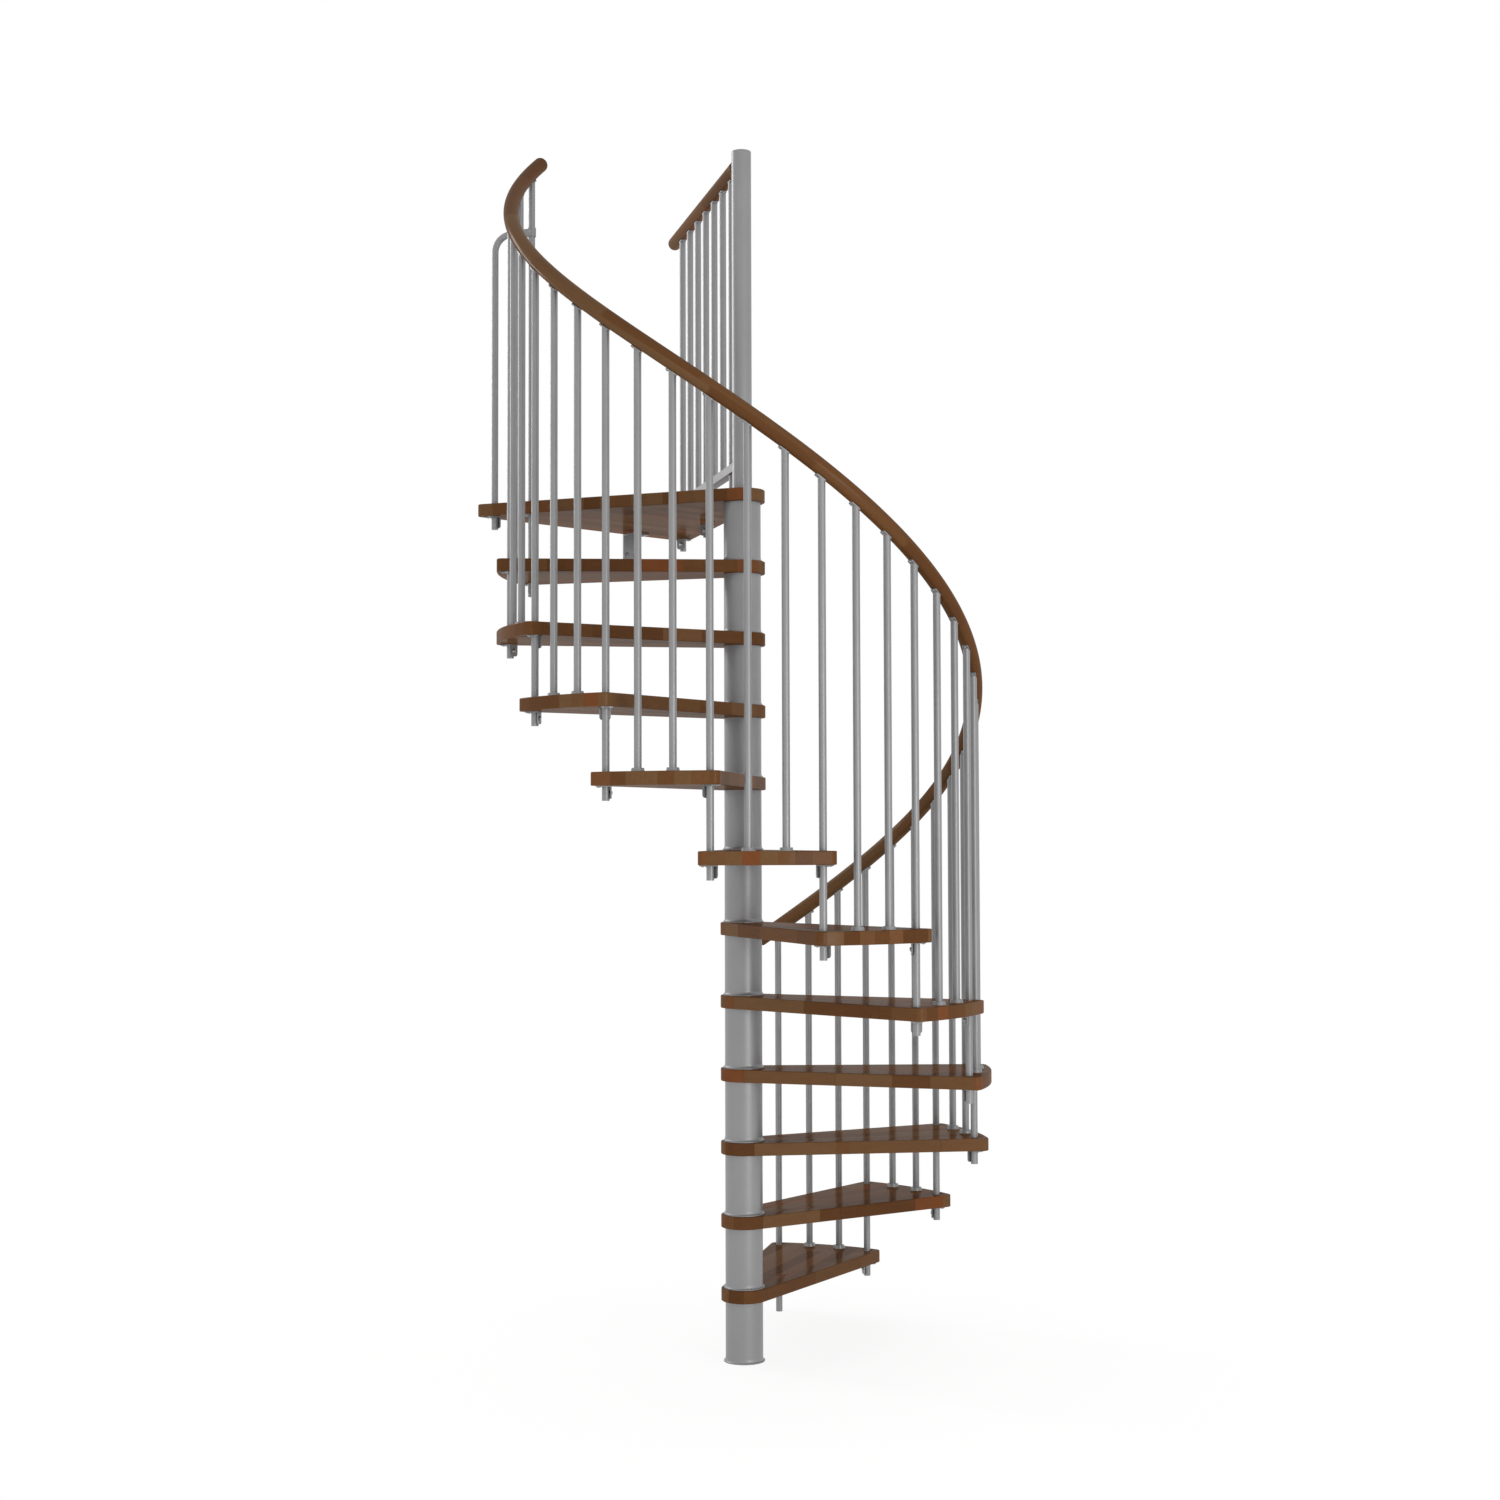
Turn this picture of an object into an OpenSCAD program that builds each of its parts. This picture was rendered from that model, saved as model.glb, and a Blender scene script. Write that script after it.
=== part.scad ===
// Spiral staircase. Wedge treads and spacer tubes are threaded on a newel pole, tube balusters
// tie each tread to the next, a round wooden rail climbs over them, and a three-cornered landing
// with its own rail meets the upper floor. Lengths are millimetres, angles are degrees.
// The newel axis is Z, the floor is Z = 0, and the landing's far edge faces +Y.
// Balusters are counted from 0 at the front of the lowest tread, going up clockwise.

/* [Flight] */
// Height from one tread to the next
riser = 206; // [180:1:225]
// Angle turned by one tread
step_angle = 25.4; // [23:0.1:28]
// Treads below the landing
tread_count = 11; // [9:1:13]
// Short balusters on each tread
infill_count = 2; // [1:1:3]

/* [Treads] */
// Thickness of the treads and the landing
tread_t = 36; // [28:1:45]
// Radius of the outer edge of the treads
stair_r = 700; // [620:5:800]
// Radius of the round boss of a tread
boss_r = 65; // [60:1:75]
// Wood between the axis of a corner baluster and the straight edge
edge_margin = 30; // [26:1:40]
// Rounding of the outer corners
corner_r = 18; // [8:1:24]

/* [Newel] */
// Outer diameter of the newel pole
pole_d = 57; // [48:1:64]
// Wall of the newel pole
pole_wall = 4; // [3:0.5:6]
// Outer diameter of the spacer tubes
spacer_d = 106; // [100:1:112]
// Wall of the spacer tubes
spacer_wall = 3; // [2:0.5:5]
// How far the flared foot of a spacer stands out
foot_flare = 5; // [2:0.5:6]
// Height of the flared foot
foot_h = 14; // [8:1:24]
// Plain rim below the flare
foot_rim = 3; // [1:0.5:5]
// Height of the newel pole above the landing rail's axis
pole_rise = 25; // [22:1:80]
// Thickness of the cap on the newel pole
cap_t = 5; // [3:0.5:10]
// Depth of the cap's plug
cap_plug = 20; // [10:1:40]
// Edge rounding of the cap
cap_edge = 2; // [1:0.5:2.5]
// Thickness of the floor flange
flange_t = 8; // [6:1:12]
// Height of the spigot that the newel pole stands over
spigot_h = 60; // [30:5:100]
// Anchor holes in the floor flange
anchor_count = 4; // [3:1:6]
// Diameter of the anchor holes
anchor_d = 9; // [7:0.5:11]

/* [Balusters] */
// Outer diameter of the baluster tubes
baluster_d = 20; // [16:1:24]
// Wall of the baluster tubes
baluster_wall = 2; // [1:0.5:3]
// Distance from the outer edge to the baluster axes
baluster_inset = 39; // [34:1:50]
// Tube that stands out below a tread
baluster_tail = 39; // [37:1:60]
// Thickness of the plug in the lower end of a tube
plug_t = 5; // [3:1:12]
// Height of the tapered collar round a short baluster
collar_h = 9; // [6:1:24]
// Width of the collar ring at its foot
collar_foot = 8; // [3:0.5:10]
// Width of the collar ring at its top
collar_lip = 6; // [1:0.5:8]

/* [Handrail] */
// Diameter of the wooden rails
rail_d = 43; // [36:1:52]
// Height of the rail's axis above the tread front
rail_h = 990; // [850:5:1100]
// Rail beyond the lowest baluster, along its curve
rail_lead = 64; // [40:1:100]
// Rail beyond the highest baluster, along its curve
rail_tail = 68; // [40:1:100]
// Edge rounding of the rail ends
rail_end_r = 12; // [4:1:16]
// Length of the saddle plate between a baluster and the rail
saddle_l = 34; // [30:1:60]
// Width of the saddle plate
saddle_w = 18; // [12:1:24]
// Thickness of the saddle plate
saddle_t = 4; // [3:0.5:6]
// Corner rounding of the saddle plate
saddle_r = 6; // [2:0.5:6]
// How far the saddle plate is set uphill of its baluster
saddle_shift = 4; // [0:0.5:8]

/* [Brackets] */
// Length of the bracket's flange under the tread
bracket_l = 38; // [34:1:42]
// Width of the bracket
bracket_w = 30; // [24:1:34]
// Sheet thickness of the bracket
bracket_t = 3; // [2:0.5:5]
// Height of the bracket's leg beside the tube
bracket_leg = 34; // [26:1:36]
// Rounding of the leg's lower corners
bracket_r = 8; // [3:1:11]
// Width of the slot in the leg
slot_w = 6.5; // [5:0.5:9]
// Length of the slot in the leg
slot_l = 16; // [10:1:18]
// Turn of the leg from the tread's inner side towards its middle
bracket_turn = 45; // [20:1:60]

/* [Landing] */
// Angle between the two baluster lines of the landing
landing_span = 57; // [50:0.5:62]
// How far the landing's far edge lies beyond the circle of the treads
landing_reach = 25; // [0:1:80]
// Height of the landing rail's axis above the landing
guard_h = 955; // [900:5:1100]
// Distance from the newel axis to the first post of the landing rail
guard_start = 118; // [110:1:200]
// Spaces between the balusters of the landing rail
guard_bays = 6; // [4:2:8]
// Landing rail beyond its last post
guard_overhang = 130; // [40:1:160]
// Width of the bottom bar
bar_w = 30; // [26:1:40]
// Height of the bottom bar
bar_h = 24; // [18:1:40]
// Wall of the bottom bar
bar_wall = 2; // [1.5:0.5:4]
// Clear height below the bottom bar
bar_gap = 65; // [40:1:110]
// Bottom bar beyond its last post
bar_overhang = 16; // [14:1:30]
// Height of the rail's axis above the level part of the corner tube
corner_h = 180; // [95:5:400]
// Bend radius of the corner tube
bend_r = 50; // [35:1:70]
// Wall of the clamp that holds the corner tube on its baluster
clamp_wall = 2.4; // [1.6:0.2:4]
// Height of the clamp on the baluster
clamp_h = 26; // [20:1:36]
// Depth of the clamp's socket for the corner tube
clamp_l = 10; // [6:1:24]

/* [Upper floor bracket] */
// Place of the bracket along the landing's far edge
slab_x = 184; // [100:1:220]
// Width of the bracket
slab_w = 60; // [50:1:90]
// Depth of its leg under the landing
slab_depth = 60; // [40:1:100]
// Height of its leg against the floor edge
slab_leg = 95; // [80:1:120]
// Thickness of its plate
slab_t = 5; // [4:0.5:8]
// Rounding of its plate corners
slab_r = 6; // [3:1:12]
// Diameter of its two bolt holes
slab_hole_d = 11; // [8:0.5:13]
// Distance between the bolt holes
slab_pitch = 32; // [24:1:34]
// Height of the bolt holes above the lower end of the leg
slab_hole_up = 30; // [18:1:50]

/* [Fits] */
// Room left all round a tube in its hole
tube_clear = 0.3; // [0.1:0.1:0.6]
// Gap between a rail and what carries it
seat_gap = 0.3; // [0.1:0.1:0.6]
// Gap between a bracket's leg and its tube
leg_gap = 0.6; // [0.4:0.1:0.9]

/* [Hidden] */
// Colours
wood = "#704627";
steel = "#9d9ea1";

// How far a cut runs past the face that it opens
over = 1;

// Roundness of turned parts, corners and the swept rail
$fn = 64;
corner_steps = 8;
boss_steps = 24;
edge_steps = 24;
flare_steps = 6;
rail_sides = 20;
rail_pitch_deg = 2.5;
end_rings = 5;

// Newel
pole_r = pole_d / 2;
pole_bore_r = pole_r - pole_wall;
spacer_r = spacer_d / 2;
spacer_bore_r = spacer_r - spacer_wall;
spacer_h = riser - tread_t;
foot_r = spacer_r + foot_flare;
flange_r = spacer_bore_r - tube_clear;
anchor_pcd = pole_r + flange_r;

// Heights of the landing and what stands on it
landing_z = riser * (tread_count + 1);
guard_z = landing_z + guard_h;
pole_top = guard_z + pole_rise;
bar_z = landing_z + bar_gap;
corner_z = landing_z + rail_h - corner_h;
under = -tread_t;

// Balusters on their circle: per_step of them from one tread front to the next
per_step = infill_count + 1;
baluster_r = baluster_d / 2;
baluster_bore_r = baluster_r - baluster_wall;
hole_r = baluster_r + tube_clear;
ring_r = stair_r - baluster_inset;
half_span = landing_span / 2;
front_line = 90 + half_span;
rear_line = 90 - half_span;
first_line = front_line + tread_count * step_angle;
last_index = tread_count * per_step;
function line_of(b) = first_line - b * step_angle / per_step;
function polar(r, a) = [r * cos(a), r * sin(a)];

// The rail climbs one riser in one tread
rail_r = rail_d / 2;
slope = atan(riser / (ring_r * step_angle * PI / 180));
function rail_z(b) = riser * (b / per_step + 1) + rail_h;
function arc_index(l) = l / ring_r * 180 / PI * per_step / step_angle;
saddle_top = rail_r + seat_gap;
saddle_base = saddle_top + saddle_t;
saddle_mid = saddle_shift - (saddle_top + saddle_t / 2) * tan(slope);

// Landing corner posts stand as far from the far edge as the balusters from theirs
landing_y = stair_r + landing_reach;
post_r = (landing_y - baluster_inset) / cos(half_span);
guard_step = (post_r - guard_start) / guard_bays;
posts_every = guard_bays / 2;
bar_end = post_r + bar_overhang;
guard_end = post_r + guard_overhang;
clamp_r = hole_r + clamp_wall;

function two(k) = k < 10 ? str("0", k) : str(k);
function tread_name(k) = str("tread_", two(k));
function spacer_name(k) = str("spacer_tube_", two(k));

// Points along an arc, for outlines
function arc(c, r, a0, a1, n) = [for (i = [0 : n]) c + polar(r, a0 + (a1 - a0) * i / n)];

// Normal of the straight edge that leaves the boss and passes the wood round a post at radius d
// on the line at angle a. side is 1 left of the line and -1 right of it.
function edge_normal(a, d, side) = a + side * (90 - asin((boss_r - edge_margin) / d));

// Outline of a tread about its middle line, which lies along X
function tread_outline() =
    let (
        n = edge_normal(step_angle / 2, ring_r, 1),
        turn = acos((boss_r - corner_r) / (stair_r - corner_r)),
        a = n - turn,
        c = polar(stair_r - corner_r, a),
        d = [c.x, -c.y]
    )
    concat(
        arc([0, 0], boss_r, n, 360 - n, boss_steps),
        arc(d, corner_r, -n, -a, corner_steps),
        arc([0, 0], stair_r, -a, a, edge_steps),
        arc(c, corner_r, a, n, corner_steps)
    );

// Outline of the landing: two straight edges from the boss and one straight far edge
function landing_outline() =
    let (
        n = edge_normal(front_line, post_r, 1),
        y = landing_y - corner_r,
        x = (boss_r - corner_r - y * sin(n)) / cos(n)
    )
    concat(
        arc([0, 0], boss_r, n, 540 - n, boss_steps),
        arc([-x, y], corner_r, 180 - n, 90, corner_steps),
        arc([x, y], corner_r, 90, n, corner_steps)
    );

// Rectangle of size w by h about [0, 0] with rounded corners
function rounded(w, h, r) = concat(
    arc([w / 2 - r, h / 2 - r], r, 0, 90, corner_steps),
    arc([r - w / 2, h / 2 - r], r, 90, 180, corner_steps),
    arc([r - w / 2, r - h / 2], r, 180, 270, corner_steps),
    arc([w / 2 - r, r - h / 2], r, 270, 360, corner_steps)
);

// Board with its top at Z = 0
module board(outline) {
    translate([0, 0, under])
        linear_extrude(tread_t)
            polygon(outline);
}

// Hole through a board, on the axis at p
module board_hole(p, r) {
    translate([p.x, p.y, under - over])
        cylinder(r = r, h = tread_t + 2 * over);
}

module tread(k) {
    middle = line_of((k - 0.5) * per_step);
    color(wood)
        translate([0, 0, k * riser])
            rotate(middle)
                difference() {
                    board(tread_outline());
                    board_hole([0, 0], pole_r + tube_clear);
                    for (side = [-1, 1])
                        board_hole(polar(ring_r, side * step_angle / 2), hole_r);
                }
}

module landing() {
    color(wood)
        translate([0, 0, landing_z])
            difference() {
                board(landing_outline());
                board_hole([0, 0], pole_r + tube_clear);
                board_hole(polar(ring_r, front_line), hole_r);
                board_hole(polar(post_r, front_line), hole_r);
                for (i = [0 : posts_every : guard_bays])
                    board_hole(polar(guard_start + i * guard_step, rear_line), hole_r);
            }
}

// Spacer under tread k, standing on the floor or on the tread below. Its foot flares out.
module spacer_tube(k) {
    flare = [for (i = [0 : flare_steps])
        let (a = 90 * i / flare_steps)
        [foot_r - foot_flare * sin(a), foot_h - (foot_h - foot_rim) * cos(a)]];
    color(steel)
        translate([0, 0, (k - 1) * riser])
            rotate_extrude()
                polygon(concat(
                    [[spacer_bore_r, 0], [foot_r, 0]],
                    flare,
                    [[spacer_r, spacer_h], [spacer_bore_r, spacer_h]]
                ));
}

// Disc bolted to the floor inside the lowest spacer, with a spigot for the pole
module floor_flange() {
    color(steel)
        difference() {
            union() {
                cylinder(r = flange_r, h = flange_t);
                cylinder(r = pole_bore_r - tube_clear, h = flange_t + spigot_h);
            }
            for (i = [0 : anchor_count - 1])
                rotate(i * 360 / anchor_count)
                    translate([anchor_pcd / 2, 0, -over])
                        cylinder(d = anchor_d, h = flange_t + 2 * over);
        }
}

module newel_pole() {
    color(steel)
        translate([0, 0, flange_t])
            difference() {
                cylinder(r = pole_r, h = pole_top - flange_t);
                translate([0, 0, -over])
                    cylinder(r = pole_bore_r, h = pole_top - flange_t + 2 * over);
            }
}

module pole_cap() {
    plug_r = pole_bore_r - tube_clear;
    color(steel)
        translate([0, 0, pole_top])
            rotate_extrude()
                polygon(concat(
                    [[0, -cap_plug], [plug_r, -cap_plug], [plug_r, 0], [pole_r, 0]],
                    arc([pole_r - cap_edge, cap_t - cap_edge], cap_edge, 0, 90, corner_steps),
                    [[0, cap_t]]
                ));
}

// Frame on the rail's axis over baluster b: X climbs along the rail and Z is square to it
module on_rail(b) {
    translate(concat(polar(ring_r, line_of(b)), rail_z(b)))
        rotate([0, -slope, line_of(b) - 90])
            children();
}

// One ring of the swept rail at index b, with radius r
function rail_ring(b, r) =
    let (a = line_of(b))
    [for (i = [0 : rail_sides - 1])
        let (
            t = 270 + 360 * i / rail_sides,
            out = r * cos(t),
            up = r * sin(t),
            flat = polar(ring_r + out, a) - polar(up * sin(slope), a - 90)
        )
        [flat.x, flat.y, rail_z(b) + up * cos(slope)]];

// Rings of the rail: rounded lower end, the climb, rounded upper end
function rail_rings() =
    let (
        low = -arc_index(rail_lead),
        high = last_index + arc_index(rail_tail),
        cap = arc_index(rail_end_r * cos(slope)),
        n = ceil((high - low) * step_angle / per_step / rail_pitch_deg),
        ease = [for (i = [0 : end_rings]) 90 * i / end_rings]
    )
    concat(
        [for (e = ease) rail_ring(low + cap * (1 - cos(e)), rail_r - rail_end_r * (1 - sin(e)))],
        [for (i = [1 : n - 1]) rail_ring(low + cap + (high - low - 2 * cap) * i / n, rail_r)],
        [for (e = ease) rail_ring(high - cap * (1 - sin(e)), rail_r - rail_end_r * (1 - cos(e)))]
    );

// Closed skin over a list of rings with the same number of points
module skin(rings) {
    s = len(rings[0]);
    m = len(rings);
    polyhedron(
        points = [for (ring = rings) each ring],
        faces = concat(
            [[for (i = [0 : s - 1]) i]],
            [for (k = [0 : m - 2], i = [0 : s - 1])
                [k * s + i, (k + 1) * s + i, (k + 1) * s + (i + 1) % s, k * s + (i + 1) % s]],
            [[for (i = [s - 1 : -1 : 0]) (m - 1) * s + i]]
        )
    );
}

module handrail() {
    color(wood)
        skin(rail_rings());
}

module saddle_plate() {
    linear_extrude(saddle_t)
        polygon(rounded(saddle_l, saddle_w, saddle_r));
}

// Sloping plates that carry the rail
module handrail_saddles() {
    color(steel)
        for (b = [0 : last_index])
            on_rail(b)
                translate([saddle_mid, 0, -saddle_base])
                    saddle_plate();
}

// Tube with a plugged lower end, from height low to height high
module tube(low, high) {
    translate([0, 0, low])
        difference() {
            cylinder(r = baluster_r, h = high - low);
            translate([0, 0, plug_t])
                cylinder(r = baluster_bore_r, h = high - low);
        }
}

// Baluster b from height low, cut off along the saddle plate's lower face
module baluster(b, low) {
    difference() {
        translate(polar(ring_r, line_of(b)))
            tube(low, rail_z(b));
        on_rail(b)
            translate([-rail_d - saddle_base, -rail_d, -saddle_base])
                cube([2 * (rail_d + saddle_base), 2 * rail_d, 2 * saddle_base]);
    }
}

// Corner balusters tie the rear of one tread to the front of the next. The first meets the floor.
module through_balusters() {
    color(steel)
        for (k = [0 : tread_count])
            baluster(k * per_step, k == 0 ? 0 : k * riser - tread_t - baluster_tail);
}

module short_balusters() {
    color(steel)
        for (k = [1 : tread_count], i = [1 : infill_count])
            baluster((k - 1) * per_step + i, k * riser);
}

// Tapered rings at the feet of the short balusters
module baluster_collars() {
    color(steel)
        for (k = [1 : tread_count], i = [1 : infill_count])
            translate(concat(polar(ring_r, line_of((k - 1) * per_step + i)), k * riser))
                rotate_extrude()
                    polygon([
                        [hole_r, 0],
                        [hole_r + collar_foot, 0],
                        [hole_r + collar_lip, collar_h],
                        [hole_r, collar_h]
                    ]);
}

// Angle bracket below a board whose underside is Z = 0, with the tube along Z
module angle_bracket() {
    leg_x = baluster_r + leg_gap;
    difference() {
        union() {
            translate([leg_x + bracket_t - bracket_l, -bracket_w / 2, -bracket_t])
                cube([bracket_l, bracket_w, bracket_t]);
            translate([leg_x, 0, -bracket_leg / 2])
                rotate([90, 0, 90])
                    linear_extrude(bracket_t)
                        difference() {
                            polygon(leg_outline());
                            translate([0, -bracket_t / 2])
                                polygon(rounded(slot_w, slot_l, slot_w / 2));
                        }
        }
        translate([0, 0, -bracket_t - over])
            cylinder(r = hole_r, h = bracket_t + 2 * over);
    }
}

// Leg of the bracket, with its lower corners rounded
function leg_outline() =
    let (w = bracket_w / 2, h = bracket_leg / 2)
    concat(
        [[w, h], [-w, h]],
        arc([bracket_r - w, bracket_r - h], bracket_r, 180, 270, corner_steps),
        arc([w - bracket_r, bracket_r - h], bracket_r, 270, 360, corner_steps)
    );

// Bracket under a board with its top at z, on the tube at radius r of the line at angle a.
// side is 1 at a front corner and -1 at a rear corner.
module bracket_at(r, a, z, side) {
    translate(concat(polar(r, a), z - tread_t))
        rotate(a + 180 + side * bracket_turn)
            angle_bracket();
}

module tread_brackets() {
    color(steel)
        for (k = [1 : tread_count]) {
            bracket_at(ring_r, line_of((k - 1) * per_step), k * riser, 1);
            bracket_at(ring_r, line_of(k * per_step), k * riser, -1);
        }
}

module landing_brackets() {
    color(steel) {
        for (r = [ring_r, post_r])
            bracket_at(r, front_line, landing_z, 1);
        for (i = [0 : posts_every : guard_bays])
            bracket_at(guard_start + i * guard_step, rear_line, landing_z, -1);
    }
}

// Path of the corner tube: up from low, round the bend, then level for a length
module bent_rod(r, low, level) {
    knee = corner_z - bend_r;
    translate([0, 0, low])
        cylinder(r = r, h = knee - low);
    translate([bend_r, 0, knee])
        rotate([90, 0, 0])
            rotate(90)
                rotate_extrude(angle = 90)
                    translate([bend_r, 0])
                        circle(r);
    translate([bend_r, 0, corner_z])
        rotate([0, 90, 0])
            cylinder(r = r, h = level);
}

// Tube that closes the gap between the flight's rail and the landing's front corner
module corner_tube() {
    low = landing_z - tread_t - baluster_tail;
    level = post_r - ring_r - bend_r - clamp_r - seat_gap;
    color(steel)
        translate(polar(post_r, front_line))
            rotate(front_line + 180)
                difference() {
                    bent_rod(baluster_r, low, level);
                    bent_rod(baluster_bore_r, low + plug_t, level + over);
                }
}

// Clamp round the highest through baluster, with a socket for the level end of the corner tube
module corner_clamp() {
    color(steel)
        translate(concat(polar(ring_r, front_line), corner_z))
            rotate(front_line)
                difference() {
                    union() {
                        cylinder(r = clamp_r, h = clamp_h, center = true);
                        rotate([0, 90, 0])
                            cylinder(r = clamp_r, h = clamp_r + clamp_l);
                    }
                    cylinder(r = hole_r, h = clamp_h + 2 * over, center = true);
                    translate([clamp_r, 0, 0])
                        rotate([0, 90, 0])
                            cylinder(r = hole_r, h = clamp_l + over);
                }
}

// Angle plate under the landing's far edge, bolted to the edge of the upper floor
module upper_floor_bracket() {
    base = landing_z - tread_t;
    color(steel)
        translate([slab_x, landing_y, base])
            difference() {
                union() {
                    translate([0, -slab_depth / 2, -slab_t])
                        linear_extrude(slab_t)
                            polygon(rounded(slab_w, slab_depth, slab_r));
                    translate([-slab_w / 2, -slab_t, -slab_leg])
                        cube([slab_w, slab_t, slab_leg]);
                }
                for (side = [-1, 1])
                    translate([side * slab_pitch / 2, over, slab_hole_up - slab_leg])
                        rotate([90, 0, 0])
                            cylinder(d = slab_hole_d, h = slab_t + 2 * over);
            }
}

// Straight rail of the landing, butted to the newel pole, with a rounded far end
module landing_rail() {
    start = pole_r + seat_gap;
    long = guard_end - start;
    color(wood)
        translate([0, 0, guard_z])
            rotate(rear_line)
                translate([start, 0, 0])
                    rotate([0, 90, 0])
                        rotate_extrude()
                            polygon(concat(
                                [[0, 0], [rail_r, 0]],
                                arc([rail_r - rail_end_r, long - rail_end_r],
                                    rail_end_r, 0, 90, corner_steps),
                                [[0, long]]
                            ));
}

// Place of upright i of the landing rail
module at_upright(i) {
    translate(polar(guard_start + i * guard_step, rear_line))
        children();
}

module landing_posts() {
    color(steel)
        for (i = [0 : posts_every : guard_bays])
            at_upright(i)
                tube(landing_z - tread_t - baluster_tail, guard_z - saddle_base);
}

// Uprights between the posts stand on the bottom bar
module landing_balusters() {
    color(steel)
        for (i = [0 : guard_bays])
            if (i % posts_every != 0)
                at_upright(i)
                    tube(bar_z + bar_h, guard_z - saddle_base);
}

module landing_bottom_bar() {
    start = pole_r + seat_gap;
    long = bar_end - start;
    color(steel)
        difference() {
            rotate(rear_line)
                translate([start, 0, bar_z])
                    difference() {
                        translate([0, -bar_w / 2, 0])
                            cube([long, bar_w, bar_h]);
                        translate([bar_wall, bar_wall - bar_w / 2, bar_wall])
                            cube([long - 2 * bar_wall, bar_w - 2 * bar_wall, bar_h - 2 * bar_wall]);
                    }
            for (i = [0 : posts_every : guard_bays])
                at_upright(i)
                    translate([0, 0, bar_z - over])
                        cylinder(r = hole_r, h = bar_h + 2 * over);
        }
}

module landing_saddles() {
    color(steel)
        for (i = [0 : guard_bays])
            at_upright(i)
                translate([0, 0, guard_z - saddle_base])
                    rotate(rear_line)
                        saddle_plate();
}

for (k = [1 : tread_count])
    tread(k);
for (k = [1 : tread_count + 1])
    spacer_tube(k);
landing();
floor_flange();
newel_pole();
pole_cap();
handrail();
handrail_saddles();
through_balusters();
short_balusters();
baluster_collars();
tread_brackets();
corner_tube();
corner_clamp();
upper_floor_bracket();
landing_rail();
landing_posts();
landing_balusters();
landing_bottom_bar();
landing_saddles();
landing_brackets();
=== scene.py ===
"""Looks of a spiral staircase: jointed wooden treads, round rails, grey tubes and screws."""

import math

import bmesh
import bpy
from bpy.props import FloatProperty, FloatVectorProperty, IntProperty, PointerProperty
from mathutils import Matrix, Vector


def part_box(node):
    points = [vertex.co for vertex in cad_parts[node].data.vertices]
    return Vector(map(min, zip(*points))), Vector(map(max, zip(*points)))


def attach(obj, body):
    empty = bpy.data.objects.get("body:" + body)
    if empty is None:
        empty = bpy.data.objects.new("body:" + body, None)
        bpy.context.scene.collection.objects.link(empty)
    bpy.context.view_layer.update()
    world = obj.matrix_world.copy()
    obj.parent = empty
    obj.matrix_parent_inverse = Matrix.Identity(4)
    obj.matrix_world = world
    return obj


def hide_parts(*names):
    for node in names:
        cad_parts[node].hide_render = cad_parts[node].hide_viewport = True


bl_info = {
    "name": "Spiral staircase finish",
    "version": (1, 0, 0),
    "blender": (4, 5, 0),
    "location": "View3D > Sidebar > Stair",
    "description": "Wooden boards and rails, painted tubes, screws and a studio for a spiral staircase",
    "category": "Object",
}

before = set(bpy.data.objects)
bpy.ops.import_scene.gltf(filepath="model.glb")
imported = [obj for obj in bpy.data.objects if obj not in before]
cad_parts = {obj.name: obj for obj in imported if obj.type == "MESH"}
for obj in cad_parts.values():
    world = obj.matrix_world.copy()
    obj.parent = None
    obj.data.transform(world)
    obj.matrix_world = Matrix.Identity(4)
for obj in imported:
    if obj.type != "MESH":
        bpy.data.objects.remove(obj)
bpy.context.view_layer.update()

MM = 0.001
BODY = "root"
GRAIN = "grain"

TREADS = sorted(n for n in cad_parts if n.startswith("tread_") and n[-2:].isdigit())
SPACERS = sorted(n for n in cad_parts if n.startswith("spacer_tube_"))
NEWEL = SPACERS + ["newel_pole", "pole_cap", "floor_flange"]
TUBES = ["through_balusters", "short_balusters", "landing_posts", "landing_balusters", "corner_tube"]
FITTINGS = [
    "tread_brackets",
    "landing_brackets",
    "handrail_saddles",
    "landing_saddles",
    "baluster_collars",
    "corner_clamp",
    "landing_bottom_bar",
    "upper_floor_bracket",
]

# Straight pieces that stand for an arc at the boss, a corner, the outer edge and a hole
BOSS_STEPS, CORNER_STEPS, OUTER_STEPS, HOLE_STEPS = 48, 12, 64, 32

# Where each wooden piece is cut from the timber: along, across and through the staves
FIRST_TREAD_CUT = Vector((0, 22.5 * MM, 0))
NEXT_TREAD_CUT = Vector((1.37, 0.9, 0.31))
LANDING_CUT = Vector((3.1, 10 * MM, 0.2))
HANDRAIL_CUT = Vector((5.31, 315 * MM, 0.4))
LANDING_RAIL_CUT = Vector((9.4, 45 * MM, 0.7))

UPSIDE_DOWN = Matrix.Rotation(math.pi, 4, "X")

# Radius and height of the screw heads
SLOT_HEAD = 5.4 * MM, 3 * MM
FLANGE_HEAD = 3.6 * MM, 2.2 * MM
HANDRAIL_HEAD = 3.2 * MM, 2 * MM
LANDING_RAIL_HEAD = 2.8 * MM, 1.8 * MM
PLATE_BOLT_HEAD = 7.5 * MM, 3 * MM
PLATE_SCREW_HEAD = 4.4 * MM, 2.6 * MM
CLAMP_HEAD = 3 * MM, 2 * MM


def reach(node):
    """Greatest distance of a node from the newel axis."""
    return max(math.hypot(v.co.x, v.co.y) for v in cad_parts[node].data.vertices)


FIRST_LOW, FIRST_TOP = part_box(TREADS[0])
LANDING_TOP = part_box("landing")[1]
RAIL_LOW, RAIL_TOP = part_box("landing_rail")


def linear(code):
    """Linear colour of an sRGB hex code such as #6b4325."""
    parts = [int(code[i : i + 2], 16) / 255 for i in (1, 3, 5)]
    return tuple(c / 12.92 if c <= 0.04045 else ((c + 0.055) / 1.055) ** 2.4 for c in parts)


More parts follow.
